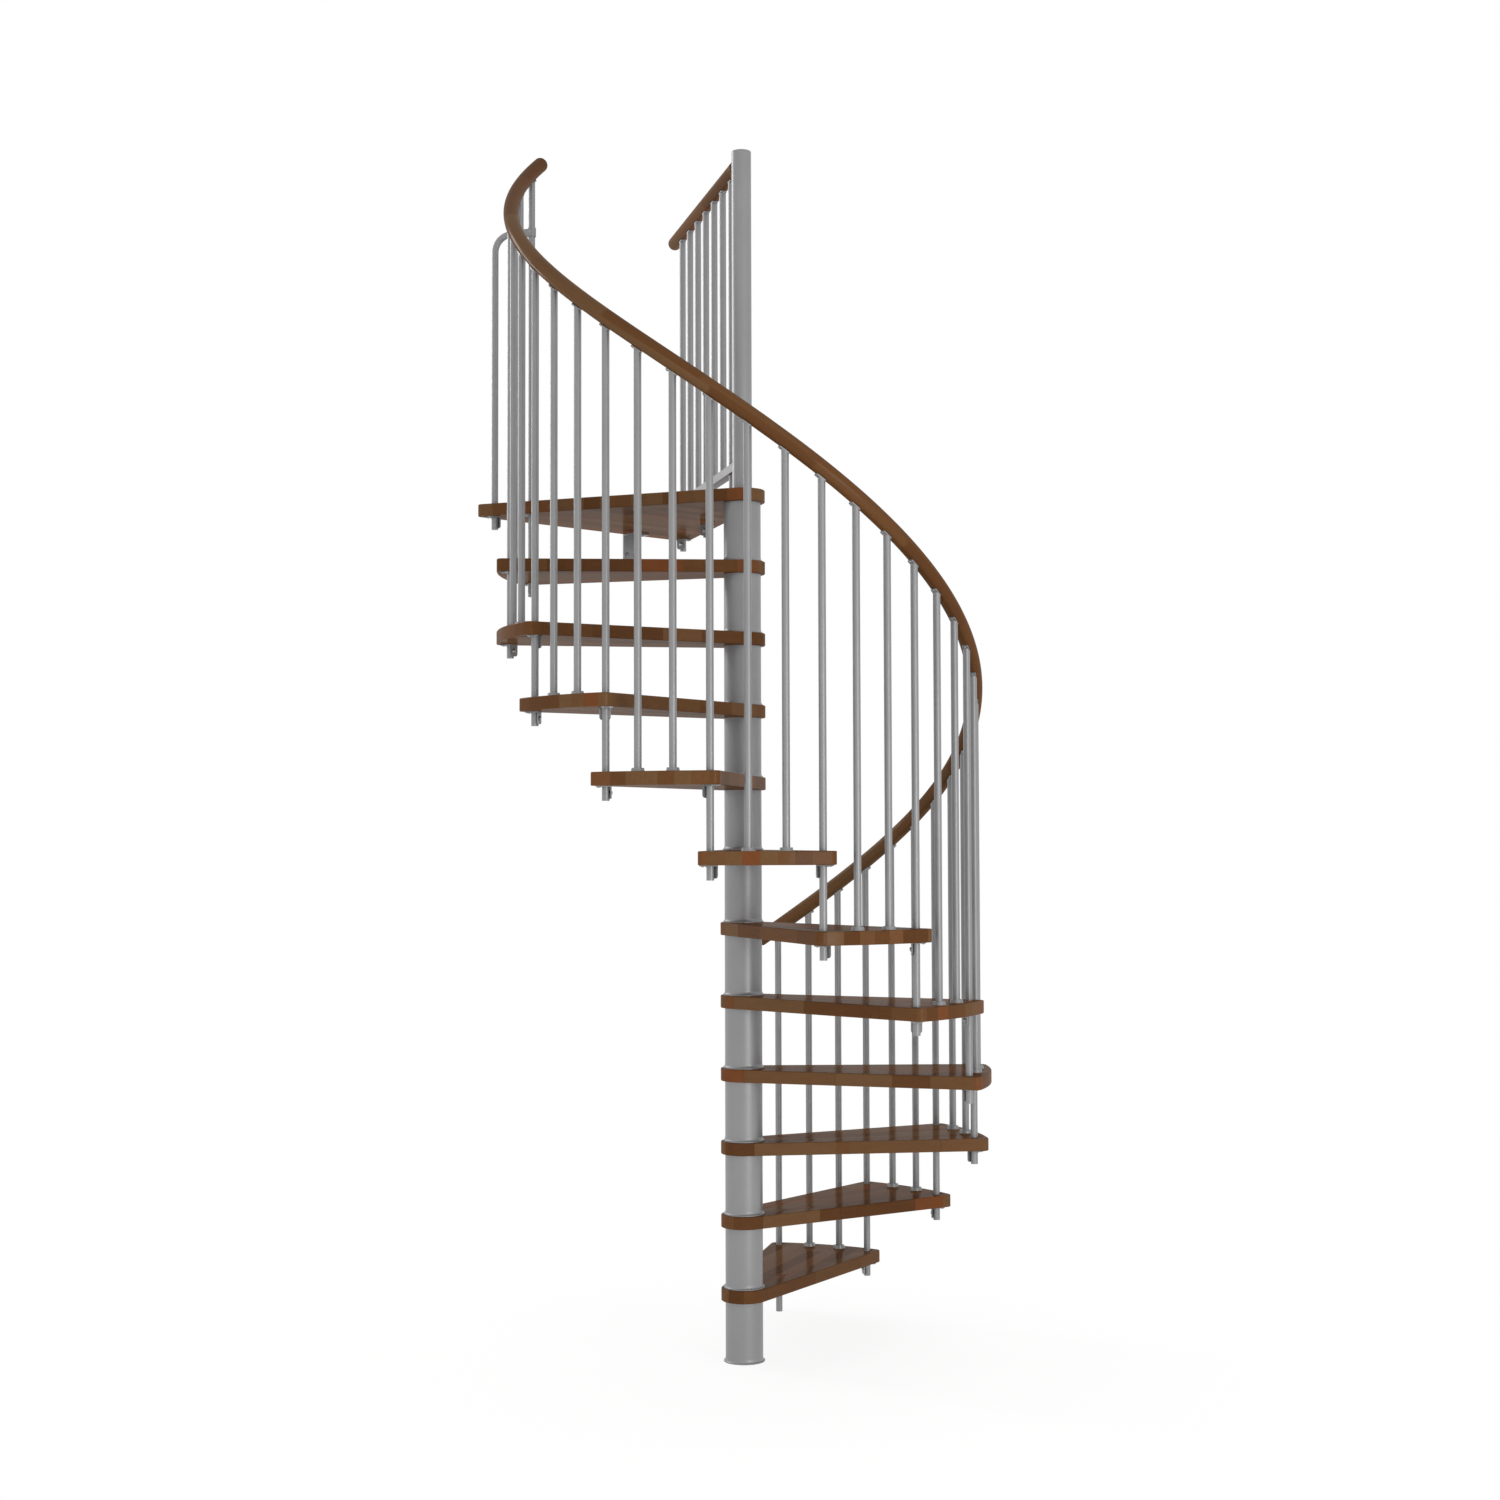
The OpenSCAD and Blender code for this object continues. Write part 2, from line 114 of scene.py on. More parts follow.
def length(name, description, default):
    """A length in metres."""
    return FloatProperty(
        name=name, description=description, default=default, min=0, unit="LENGTH", precision=4
    )


def number(name, description, default):
    """A count of like pieces."""
    return IntProperty(name=name, description=description, default=default, min=1)


def watts(name, description, default):
    """Power of a lamp."""
    return FloatProperty(name=name, description=description, default=default, min=0, unit="POWER")


def angle(name, description, degrees):
    """An angle, given in degrees."""
    return FloatProperty(name=name, description=description, default=math.radians(degrees), unit="ROTATION")


def colour(name, description, code):
    """A colour, given as an sRGB hex code."""
    return FloatVectorProperty(
        name=name, description=description, default=linear(code), min=0, max=1, size=3, subtype="COLOR"
    )


class StairSizes(bpy.types.PropertyGroup):
    """Sizes that the wooden pieces and the screws follow."""

    riser: length("Rise", "Height from one tread to the next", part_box(TREADS[1])[1].z - FIRST_TOP.z)
    step: angle("Step angle", "Angle turned by one tread", 25.4)
    per_step: number("Balusters", "Balusters from one tread front to the next", 3)
    span: angle("Landing span", "Angle between the two baluster lines of the landing", 57)
    thick: length("Board thickness", "Thickness of the treads and the landing", FIRST_TOP.z - FIRST_LOW.z)
    outer: length("Outer radius", "Radius of the outer edge of the treads", reach(TREADS[0]))
    ring: length("Baluster circle", "Radius of the balusters' circle", reach("through_balusters") - 10 * MM)
    boss: length("Boss radius", "Radius of the round end at the newel", 65 * MM)
    margin: length("Edge margin", "Wood between a corner baluster's axis and the straight edge", 30 * MM)
    inset: length("Baluster inset", "Distance from an outer edge to the baluster axes", 39 * MM)
    corner: length("Corner rounding", "Rounding of the outer corners, seen from above", 18 * MM)
    edge: length("Edge rounding", "Rounding of the upper and lower edges", 3 * MM)
    pole: length("Pole radius", "Radius of the newel pole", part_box("newel_pole")[1].x)
    tube: length("Tube radius", "Radius of the baluster tubes", 10 * MM)
    clear: length("Clearance", "Room round a tube in its hole", 0.3 * MM)
    rail: length("Rail radius", "Radius of the wooden rails", (RAIL_TOP.z - RAIL_LOW.z) / 2)
    rail_height: length("Rail height", "Height of the rail's axis above the tread fronts", 990 * MM)
    rail_lead: length("Rail lead", "Rail beyond the lowest baluster, seen from above", 64 * MM)
    rail_tail: length("Rail tail", "Rail beyond the highest baluster, seen from above", 68 * MM)
    rail_end: length("Rail end rounding", "Rounding of the rail ends", 12 * MM)
    guard_start: length("First post", "Landing rail's first post from the newel axis", 118 * MM)
    guard_bays: number("Landing bays", "Spaces between the landing rail's uprights", 6)
    guard_overhang: length("Landing rail end", "Landing rail beyond its last post", 130 * MM)
    saddle: length("Saddle plate", "Thickness of the plate between a baluster and the rail", 4 * MM)
    bracket_leg: length("Bracket leg", "Height of a bracket's leg", 34 * MM)
    bracket_sheet: length("Bracket sheet", "Thickness of a bracket", 3 * MM)
    bracket_gap: length("Bracket gap", "Gap between a bracket's leg and its tube", 0.6 * MM)
    bracket_turn: angle("Bracket turn", "Turn of a bracket's leg from the board's inner side", 45)


class StairColours(bpy.types.PropertyGroup):
    """Colours of the finishes."""

    wood_dark: colour("Dark stave", "Darkest staves of the stained wood", "#4d2f17")
    wood_brown: colour("Brown stave", "Common staves of the stained wood", "#5b3b20")
    wood_dull: colour("Dull stave", "Greyer staves of the stained wood", "#60452c")
    wood_orange: colour("Orange stave", "Warm staves of the stained wood", "#66391c")
    paint: colour("Paint", "Silver-grey paint of the steel", "#888889")
    zinc: colour("Zinc", "Plating of the screws", "#b4b6b8")
    floor: colour("Floor", "Studio floor", "#fbfbfa")


class StageSettings(bpy.types.PropertyGroup):
    """Camera and light of the studio."""

    distance: length("Camera distance", "Distance from the newel axis to the camera", 6.2796)
    height: length("Camera height", "Height of the camera above the floor", 1.4731)
    turn: angle("Camera turn", "Turn of the viewing direction about the newel axis", -42.6)
    yaw: angle("Yaw", "Turn of the camera to the right", 0.187)
    pitch: angle("Pitch", "Tilt of the camera upwards", 2.314)
    roll: angle("Roll", "Roll of the camera", -0.166)
    lens: FloatProperty(
        name="Lens", description="Focal length for a 36 mm sensor", default=52.77, unit="CAMERA"
    )
    ambient: FloatProperty(
        name="Ambient", description="Strength of the white surroundings", default=0.92, min=0
    )
    key: watts("Key", "Power of the soft lamp at the front right", 68)
    rim: watts("Rim", "Power of the narrow lamp at the back left", 80)
    fill: watts("Fill", "Power of the broad soft lamp at the right", 70)
    low: watts("Low", "Power of the long lamp near the floor at the front", 45)


def sizes():
    return bpy.context.scene.stair_sizes


def colours():
    return bpy.context.scene.stair_colours


def add(tree, kind, inputs=None, stops=None, **settings):
    """Adds a node with its settings. Inputs are links from other nodes' outputs, or values."""
    node = tree.nodes.new(kind)
    for name, value in settings.items():
        setattr(node, name, value)
    for key, value in (inputs or {}).items():
        if isinstance(value, bpy.types.NodeSocket):
            tree.links.new(value, node.inputs[key])
        else:
            node.inputs[key].default_value = value
    for place, tone in stops or []:
        end = place in (0, 1)
        stop = node.color_ramp.elements[int(place)] if end else node.color_ramp.elements.new(place)
        stop.color = (*tone, 1)
    return node


def seen_straight(tree):
    """Socket that is 1 where the camera, a reflection or a view through glass meets the surface."""
    ray = add(tree, "ShaderNodeLightPath").outputs
    seen = add(
        tree, "ShaderNodeMath", {0: ray["Is Camera Ray"], 1: ray["Is Glossy Ray"]}, operation="MAXIMUM"
    ).outputs[0]
    return add(
        tree, "ShaderNodeMath", {0: seen, 1: ray["Is Transmission Ray"]}, operation="MAXIMUM"
    ).outputs[0]


def new_material(name):
    """Empty material with its shader: returns the material, its tree and the shader."""
    material = bpy.data.materials.new(name)
    material.use_nodes = True
    return material, material.node_tree, material.node_tree.nodes["Principled BSDF"]


def stained_beech():
    """Finger-jointed beech, stained walnut brown under satin varnish.

    Staves of uneven tone give the eye blocks of brown and orange, with fine streaks along the grain.
    The varnish mirrors pale surroundings on the flat tops and softens every streak."""
    stave_w, stave_l = 45 * MM, 330 * MM
    finger_l, fingers = 10 * MM, 6
    streak, streak_l = 2.4 * MM, 110 * MM
    band, band_l = 13 * MM, 420 * MM
    glue = 0.675 * MM
    row_spread, stave_spread = 9, 40
    tones = colours()
    material, tree, shader = new_material("stained_beech")

    # Each stave has a row across the board, a place along its row and a drawn tone.
    place = add(tree, "ShaderNodeAttribute", attribute_name=GRAIN).outputs["Vector"]
    axes = add(tree, "ShaderNodeSeparateXYZ", {"Vector": place}).outputs
    across = add(tree, "ShaderNodeMath", {0: axes["Y"], 1: stave_w}, operation="DIVIDE").outputs[0]
    row = add(tree, "ShaderNodeMath", {0: across}, operation="FLOOR").outputs[0]
    start = add(tree, "ShaderNodeTexWhiteNoise", {"W": row}, noise_dimensions="1D").outputs["Value"]
    shift = add(tree, "ShaderNodeMath", {0: start, 1: row_spread}, operation="MULTIPLY").outputs[0]
    along = add(
        tree, "ShaderNodeMath", {0: axes["X"], 1: 1 / stave_l, 2: shift}, operation="MULTIPLY_ADD"
    ).outputs[0]

    # The fingers of a joint run to and fro across their stave.
    teeth = add(tree, "ShaderNodeMath", {0: across, 1: fingers}, operation="MULTIPLY").outputs[0]
    zigzag = add(tree, "ShaderNodeMath", {0: teeth, 1: 0.5}, operation="PINGPONG").outputs[0]
    along = add(
        tree, "ShaderNodeMath", {0: zigzag, 1: 2 * finger_l / stave_l, 2: along}, operation="MULTIPLY_ADD"
    ).outputs[0]
    joint = add(tree, "ShaderNodeMath", {0: along}, operation="FLOOR").outputs[0]
    block = add(tree, "ShaderNodeCombineXYZ", {"X": row, "Y": joint}).outputs[0]
    draw = add(tree, "ShaderNodeTexWhiteNoise", {"Vector": block}, noise_dimensions="2D").outputs
    stops = [(0, tones.wood_dark), (1, tones.wood_orange), (0.42, tones.wood_brown), (0.76, tones.wood_dull)]
    tone = add(tree, "ShaderNodeValToRGB", {"Fac": draw["Value"]}, stops).outputs["Color"]

    # Fine and broad streaks start anew in each stave.
    apart = add(
        tree, "ShaderNodeVectorMath", {0: draw["Color"], "Scale": stave_spread}, operation="SCALE"
    ).outputs[0]
    waves = []
    for long, wide, detail in ((streak_l, streak, 3), (band_l, band, 2)):
        stretch = (1 / long, 1 / wide, 1 / wide)
        at = add(
            tree, "ShaderNodeVectorMath", {0: place, 1: stretch, 2: apart}, operation="MULTIPLY_ADD"
        ).outputs[0]
        noise = add(tree, "ShaderNodeTexNoise", {"Vector": at, "Scale": 1, "Detail": detail})
        waves.append(noise.outputs["Fac"])
    fine, broad = waves
    under = add(tree, "ShaderNodeMath", {0: broad, 1: 0.45}, operation="MULTIPLY").outputs[0]
    depth = add(tree, "ShaderNodeMath", {0: fine, 1: 0.55, 2: under}, operation="MULTIPLY_ADD").outputs[0]
    shade = add(
        tree,
        "ShaderNodeMapRange",
        {"Value": depth, "From Min": 0.3, "From Max": 0.7, "To Min": 0.88, "To Max": 1.09},
    ).outputs[0]

    # A thin darker line shows where two rows are glued.
    share = add(tree, "ShaderNodeMath", {0: across}, operation="FRACT").outputs[0]
    gap = add(tree, "ShaderNodeMath", {0: share, 1: 0.5}, operation="SUBTRACT").outputs[0]
    gap = add(tree, "ShaderNodeMath", {0: gap}, operation="ABSOLUTE").outputs[0]
    seam = add(
        tree,
        "ShaderNodeMapRange",
        {"Value": gap, "From Min": 0.5 - glue / stave_w, "From Max": 0.5, "To Min": 1, "To Max": 0.86},
    ).outputs[0]
    shade = add(tree, "ShaderNodeMath", {0: shade, 1: seam}, operation="MULTIPLY").outputs[0]
    stained = add(tree, "ShaderNodeVectorMath", {0: tone, "Scale": shade}, operation="SCALE").outputs[0]
    tree.links.new(stained, shader.inputs["Base Color"])
    gloss = add(tree, "ShaderNodeMapRange", {"Value": broad, "To Min": 0.3, "To Max": 0.44}).outputs[0]
    tree.links.new(gloss, shader.inputs["Roughness"])
    bump = add(tree, "ShaderNodeBump", {"Strength": 0.12, "Distance": 0.2 * MM, "Height": fine})
    tree.links.new(bump.outputs[0], shader.inputs["Normal"])
    shader.inputs["IOR"].default_value = 1.5
    shader.inputs["Specular IOR Level"].default_value = 0
    shader.inputs["Coat Weight"].default_value = 0.155
    shader.inputs["Coat Roughness"].default_value = 0.16
    return material


def powder_coated_steel():
    """Steel tube and sheet under silver-grey powder coat.

    The cured powder gives the eye a soft sheen with a faint orange peel and a slight cloud in the tone.
    The real peel is under a millimetre, so it is drawn at 3 mm to show."""
    peel, cloud = 3 * MM, 140 * MM
    material, tree, shader = new_material("powder_coated_steel")
    place = add(tree, "ShaderNodeTexCoord").outputs["Object"]
    fine = add(tree, "ShaderNodeTexNoise", {"Vector": place, "Scale": 1 / peel, "Detail": 2}).outputs[0]
    broad = add(tree, "ShaderNodeTexNoise", {"Vector": place, "Scale": 1 / cloud, "Detail": 3}).outputs[0]
    shade = add(
        tree,
        "ShaderNodeMapRange",
        {"Value": broad, "From Min": 0.3, "From Max": 0.7, "To Min": 0.96, "To Max": 1.04},
    ).outputs[0]
    paint = add(
        tree, "ShaderNodeVectorMath", {0: tuple(colours().paint), "Scale": shade}, operation="SCALE"
    ).outputs[0]
    tree.links.new(paint, shader.inputs["Base Color"])
    gloss = add(tree, "ShaderNodeMapRange", {"Value": fine, "To Min": 0.34, "To Max": 0.46}).outputs[0]
    tree.links.new(gloss, shader.inputs["Roughness"])
    bump = add(tree, "ShaderNodeBump", {"Strength": 0.05, "Distance": 0.1 * MM, "Height": fine})
    tree.links.new(bump.outputs[0], shader.inputs["Normal"])
    shader.inputs["Metallic"].default_value = 0.55
    return material


def zinc_plated_steel():
    """Bright zinc on small screws.

    Cold and shiny, with a fine mottle from the plating bath, drawn at 1 mm."""
    mottle = 1 * MM
    material, tree, shader = new_material("zinc_plated_steel")
    place = add(tree, "ShaderNodeTexCoord").outputs["Object"]
    spots = add(tree, "ShaderNodeTexNoise", {"Vector": place, "Scale": 1 / mottle, "Detail": 2}).outputs[0]
    shade = add(tree, "ShaderNodeMapRange", {"Value": spots, "To Min": 0.85, "To Max": 1.1}).outputs[0]
    plate = add(
        tree, "ShaderNodeVectorMath", {0: tuple(colours().zinc), "Scale": shade}, operation="SCALE"
    ).outputs[0]
    tree.links.new(plate, shader.inputs["Base Color"])
    gloss = add(tree, "ShaderNodeMapRange", {"Value": spots, "To Min": 0.22, "To Max": 0.4}).outputs[0]
    tree.links.new(gloss, shader.inputs["Roughness"])
    shader.inputs["Metallic"].default_value = 1
    return material


def pale_floor():
    """Matt pale studio floor.

    It is white to the camera and to reflections, wholly so far out, and keeps a soft shadow."""
    material, tree, shader = new_material("pale_floor")
    shader.inputs["Base Color"].default_value = (*colours().floor, 1)
    shader.inputs["Roughness"].default_value = 0.9
    shader.inputs["Specular IOR Level"].default_value = 0
    place = add(tree, "ShaderNodeTexCoord").outputs["Object"]
    far = add(tree, "ShaderNodeVectorMath", {0: place}, operation="LENGTH").outputs["Value"]
    share = add(
        tree, "ShaderNodeMapRange", {"Value": far, "From Min": 1, "From Max": 6, "To Min": 0.86, "To Max": 1}
    ).outputs[0]
    part = add(tree, "ShaderNodeMath", {0: seen_straight(tree), 1: share}, operation="MULTIPLY").outputs[0]
    white = add(tree, "ShaderNodeEmission", {"Color": (1, 1, 1, 1), "Strength": 1}).outputs[0]
    mixed = add(tree, "ShaderNodeMixShader", {0: part, 1: shader.outputs[0], 2: white}).outputs[0]
    tree.links.new(mixed, tree.nodes["Material Output"].inputs["Surface"])
    return material


def finish(make):
    """The material named as the function that makes it, made once."""
    return bpy.data.materials.get(make.__name__) or make()


def paint_node(name, material):
    """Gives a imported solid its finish."""
    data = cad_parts[name].data
    data.materials.clear()
    data.materials.append(material)


def new_piece(name, bm, material, nodes=()):
    """Turns a bmesh into a shown piece that stands for the given solids."""
    bmesh.ops.recalc_face_normals(bm, faces=bm.faces)
    data = bpy.data.meshes.new(name)
    bm.to_mesh(data)
    bm.free()
    data.materials.append(material)
    data.shade_smooth()
    piece = bpy.data.objects.new(name, data)
    bpy.context.scene.collection.objects.link(piece)
    weight = piece.modifiers.new("flat_faces", "WEIGHTED_NORMAL")
    weight.keep_sharp = True
    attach(piece, BODY)
    if nodes:
        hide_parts(*nodes)
    return piece


def polar(radius, turn):
    return Vector((radius * math.cos(turn), radius * math.sin(turn)))


def arc(centre, radius, first, last, count):
    """Points along an arc."""
    return [centre + polar(radius, first + (last - first) * i / count) for i in range(count + 1)]


def front_line():
    """Angle of the landing's front line, where the flight ends."""
    return math.pi / 2 + sizes().span / 2


def rear_line():
    """Angle of the landing's rear line, below its rail."""
    return math.pi / 2 - sizes().span / 2


def baluster_line(index):
    """Angle of a baluster's line, counted from 0 at the front of the lowest tread."""
    s = sizes()
    return front_line() + len(TREADS) * s.step - index * s.step / s.per_step


def rail_slope():
    """Slope of the handrail."""
    s = sizes()
    return math.atan2(s.riser, s.ring * s.step)


def rail_z(index):
    """Height of the handrail's axis over a baluster."""
    s = sizes()
    return s.riser * (index / s.per_step + 1) + s.rail_height


def edge_normal(turn, radius, side):
    """Normal of the straight edge that leaves the boss and passes a post at that radius and line."""
    s = sizes()
    return turn + side * (math.pi / 2 - math.asin((s.boss - s.margin) / radius))


def tread_outline(shrink):
    """Outline of a tread about its middle line, which lies along X, moved inwards by shrink."""
    s = sizes()
    normal = edge_normal(s.step / 2, s.ring, 1)
    turn = normal - math.acos((s.boss - s.corner) / (s.outer - s.corner))
    left = polar(s.outer - s.corner, turn)
    right = Vector((left.x, -left.y))
    middle = Vector((0, 0))
    return (
        arc(middle, s.boss - shrink, normal, 2 * math.pi - normal, BOSS_STEPS)[:-1]
        + arc(right, s.corner - shrink, -normal, -turn, CORNER_STEPS)
        + arc(middle, s.outer - shrink, -turn, turn, OUTER_STEPS)[1:-1]
        + arc(left, s.corner - shrink, turn, normal, CORNER_STEPS)
    )


def post_radius():
    """Distance from the newel axis to the landing's corner posts."""
    s = sizes()
    return (LANDING_TOP.y - s.inset) / math.cos(s.span / 2)


def landing_outline(shrink):
    """Outline of the landing, moved inwards by shrink: a boss, two straight edges and a straight far edge."""
    s = sizes()
    normal = edge_normal(front_line(), post_radius(), 1)
    y = LANDING_TOP.y - s.corner
    x = (s.boss - s.corner - y * math.sin(normal)) / math.cos(normal)
    return (
        arc(Vector((0, 0)), s.boss - shrink, normal, 3 * math.pi - normal, BOSS_STEPS)[:-1]
        + arc(Vector((-x, y)), s.corner - shrink, math.pi - normal, math.pi / 2, CORNER_STEPS)
        + arc(Vector((x, y)), s.corner - shrink, math.pi / 2, normal, CORNER_STEPS)
    )


def ring_of(bm, points):
    """Closed loop of vertices."""
    return [bm.verts.new(p) for p in points]


def bridge(bm, low, high):
    """Faces between two loops of as many vertices."""
    for i, vert in enumerate(low):
        j = (i + 1) % len(low)
        bm.faces.new((vert, low[j], high[j], high[i]))


def edges_of(bm, loop):
    return [bm.edges.get((loop[i], loop[(i + 1) % len(loop)])) for i in range(len(loop))]


def board(outline, holes):
    """Board with its top at Z = 0, rounded edges and round holes, each a centre and a radius."""
    s = sizes()
    quarter = [math.radians(a) for a in (0, 22.5, 45, 67.5, 90)]
    profile = [(s.edge * (1 - math.sin(a)), s.edge * (1 - math.cos(a)) - s.thick) for a in quarter]
    profile += [(s.edge * (1 - math.cos(a)), s.edge * (math.sin(a) - 1)) for a in quarter]
    bm = bmesh.new()
    rings = [ring_of(bm, [(p.x, p.y, z) for p in outline(shrink)]) for shrink, z in profile]
    for low, high in zip(rings, rings[1:]):
        bridge(bm, low, high)
    rims = {0: edges_of(bm, rings[-1]), -s.thick: edges_of(bm, rings[0])}
    for centre, radius in holes:
        circle = arc(centre, radius, 0, 2 * math.pi, HOLE_STEPS)[:-1]
        low, high = (ring_of(bm, [(p.x, p.y, z) for p in circle]) for z in (-s.thick, 0))
        bridge(bm, low, high)
        rims[0] += edges_of(bm, high)
        rims[-s.thick] += edges_of(bm, low)
    for rim in rims.values():
        bmesh.ops.triangle_fill(bm, edges=rim, use_beauty=True)
    return bm


def lay_grain(bm, cut):
    """Stores where each vertex lies in the timber: X along the grain, Y across the staves, Z through them."""
    layer = bm.verts.layers.float_vector.new(GRAIN)
    for vert in bm.verts:
        vert[layer] = vert.co + cut


class STAIR_OT_treads(bpy.types.Operator):
    """Wooden treads with rounded edges, each cut from its own staves"""

    bl_idname = "stair.treads"
    bl_label = "Treads"

    def execute(self, context):
        s = sizes()
        wood = finish(stained_beech)
        holes = [(Vector((0, 0)), s.pole + s.clear)]
        holes += [(polar(s.ring, side * s.step / 2), s.tube + s.clear) for side in (-1, 1)]
        for k, node in enumerate(TREADS):
            bm = board(tread_outline, holes)
            lay_grain(bm, FIRST_TREAD_CUT + k * NEXT_TREAD_CUT)
            middle = baluster_line((k + 0.5) * s.per_step)
            place = Matrix.Translation((0, 0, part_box(node)[1].z)) @ Matrix.Rotation(middle, 4, "Z")
            bmesh.ops.transform(bm, matrix=place, verts=bm.verts)
            new_piece(f"{node}_board", bm, wood, [node])
        return {"FINISHED"}


class STAIR_OT_landing(bpy.types.Operator):
    """Wooden landing with its staves along the far edge"""

    bl_idname = "stair.landing"
    bl_label = "Landing"

    def execute(self, context):
        s = sizes()
        last = post_radius()
        posts = [polar(r, front_line()) for r in (s.ring, last)]
        posts += [polar(r, rear_line()) for r in (s.guard_start, (s.guard_start + last) / 2, last)]
        holes = [(Vector((0, 0)), s.pole + s.clear)] + [(p, s.tube + s.clear) for p in posts]
        bm = board(landing_outline, holes)
        lay_grain(bm, LANDING_CUT)
        bmesh.ops.translate(bm, vec=(0, 0, LANDING_TOP.z), verts=bm.verts)
        new_piece("landing_board", bm, finish(stained_beech), ["landing"])
        return {"FINISHED"}


def sweep(rings, radii, lengths, cut):
    """Round bar through a list of rings: each a function from a sideways and an upward offset to a point.

    It is glued from two layers, each half as thick as a board's stave is wide."""
    sides, layers = 40, 2
    bm = bmesh.new()
    layer = bm.verts.layers.float_vector.new(GRAIN)
    loops = []
    for at, radius, along in zip(rings, radii, lengths):
        offsets = [polar(radius, 2 * math.pi * i / sides) for i in range(sides)]
        loop = ring_of(bm, [at(o.x, o.y) for o in offsets])
        for vert, o in zip(loop, offsets):
            vert[layer] = Vector((along, layers * o.y, o.x)) + cut
        loops.append(loop)
    for low, high in zip(loops, loops[1:]):
        bridge(bm, low, high)
    for loop in (loops[0], loops[-1]):
        bm.faces.new(loop)
    return bm


def rounded_end(radius, rounding):
    """Steps of a rounded bar end: how far from its tip, and the radius there."""
    turns = [math.radians(a) for a in (0, 15, 30, 45, 60, 75, 90)]
    return [(rounding * (1 - math.cos(a)), radius - rounding * (1 - math.sin(a))) for a in turns]


class STAIR_OT_handrail(bpy.types.Operator):
    """Round wooden rail that climbs with the flight"""

    bl_idname = "stair.handrail"
    bl_label = "Handrail"

    def execute(self, context):
        s = sizes()
        slope = rail_slope()
        lead, tail = -s.rail_lead / s.ring, len(TREADS) * s.step + s.rail_tail / s.ring
        count = 320
        flat = math.cos(slope) / s.ring
        low = [(lead + back * flat, radius) for back, radius in rounded_end(s.rail, s.rail_end)]
        high = [(tail - back * flat, radius) for back, radius in reversed(rounded_end(s.rail, s.rail_end))]
        first, last = low[-1][0], high[0][0]
        steps = low + [(first + (last - first) * i / count, s.rail) for i in range(1, count)] + high

        def ring(climbed):
            index = climbed / s.step * s.per_step
            turn, z = baluster_line(index), rail_z(index)

            def at(out, up):
                flat_place = polar(s.ring + out, turn) - polar(up * math.sin(slope), turn - math.pi / 2)
                return (flat_place.x, flat_place.y, z + up * math.cos(slope))

            return at

        bm = sweep(
            [ring(climbed) for climbed, _ in steps],
            [radius for _, radius in steps],
            [climbed * s.ring / math.cos(slope) for climbed, _ in steps],
            HANDRAIL_CUT,
        )
        new_piece("handrail_wood", bm, finish(stained_beech), ["handrail"])
        return {"FINISHED"}


class STAIR_OT_landing_rail(bpy.types.Operator):
    """Straight round wooden rail of the landing"""

    bl_idname = "stair.landing_rail"
    bl_label = "Landing rail"

    def execute(self, context):
        s = sizes()
        line = rear_line()
        start, tip = s.pole + s.clear, post_radius() + s.guard_overhang
        end = [(tip - back, radius) for back, radius in reversed(rounded_end(s.rail, s.rail_end))]
        count = 24
        steps = [(start + (end[0][0] - start) * i / count, s.rail) for i in range(count)] + end
        z = (RAIL_LOW.z + RAIL_TOP.z) / 2

        def ring(radius):
            def at(out, up):
                flat_place = polar(radius, line) + polar(out, line + math.pi / 2)
                return (flat_place.x, flat_place.y, z + up)

            return at

        bm = sweep(
            [ring(place) for place, _ in steps],
            [radius for _, radius in steps],
            [place for place, _ in steps],
            LANDING_RAIL_CUT,
        )
        wood = finish(stained_beech)
        new_piece("landing_rail_wood", bm, wood, ["landing_rail"])
        return {"FINISHED"}


class STAIR_OT_newel(bpy.types.Operator):
    """Painted newel pole, spacer tubes, cap and floor flange"""

    bl_idname = "stair.newel"
    bl_label = "Newel"

    def execute(self, context):
        for node in NEWEL:
            paint_node(node, finish(powder_coated_steel))
        return {"FINISHED"}


class STAIR_OT_balusters(bpy.types.Operator):
    """Painted balusters, posts and corner tube"""

    bl_idname = "stair.balusters"
    bl_label = "Balusters"

    def execute(self, context):
        for node in TUBES:
            paint_node(node, finish(powder_coated_steel))
        return {"FINISHED"}


class STAIR_OT_fittings(bpy.types.Operator):
    """Painted brackets, saddles, collars, clamp and bars"""

    bl_idname = "stair.fittings"
    bl_label = "Fittings"

    def execute(self, context):
        for node in FITTINGS:
            paint_node(node, finish(powder_coated_steel))
        return {"FINISHED"}


def disc(radius):
    """Radius of a circle in every direction."""
    return lambda turn: radius


def hexagon(half_width):
    """Radius of a hexagon in each direction, from half its width across the flats."""
    return lambda turn: half_width / math.cos(turn % (math.pi / 3) - math.pi / 6)


def lathe(bm, place, rings):
    """Closed solid along local Z. Each ring is a height and a function from a direction to a radius."""
    sides = 24
    turns = [2 * math.pi * i / sides for i in range(sides)]
    loops = [ring_of(bm, [place @ Vector((*polar(radius(t), t), z)) for t in turns]) for z, radius in rings]
    for low, high in zip(loops, loops[1:]):
        bridge(bm, low, high)
    for loop in (loops[0], loops[-1]):
        bm.faces.new(loop)


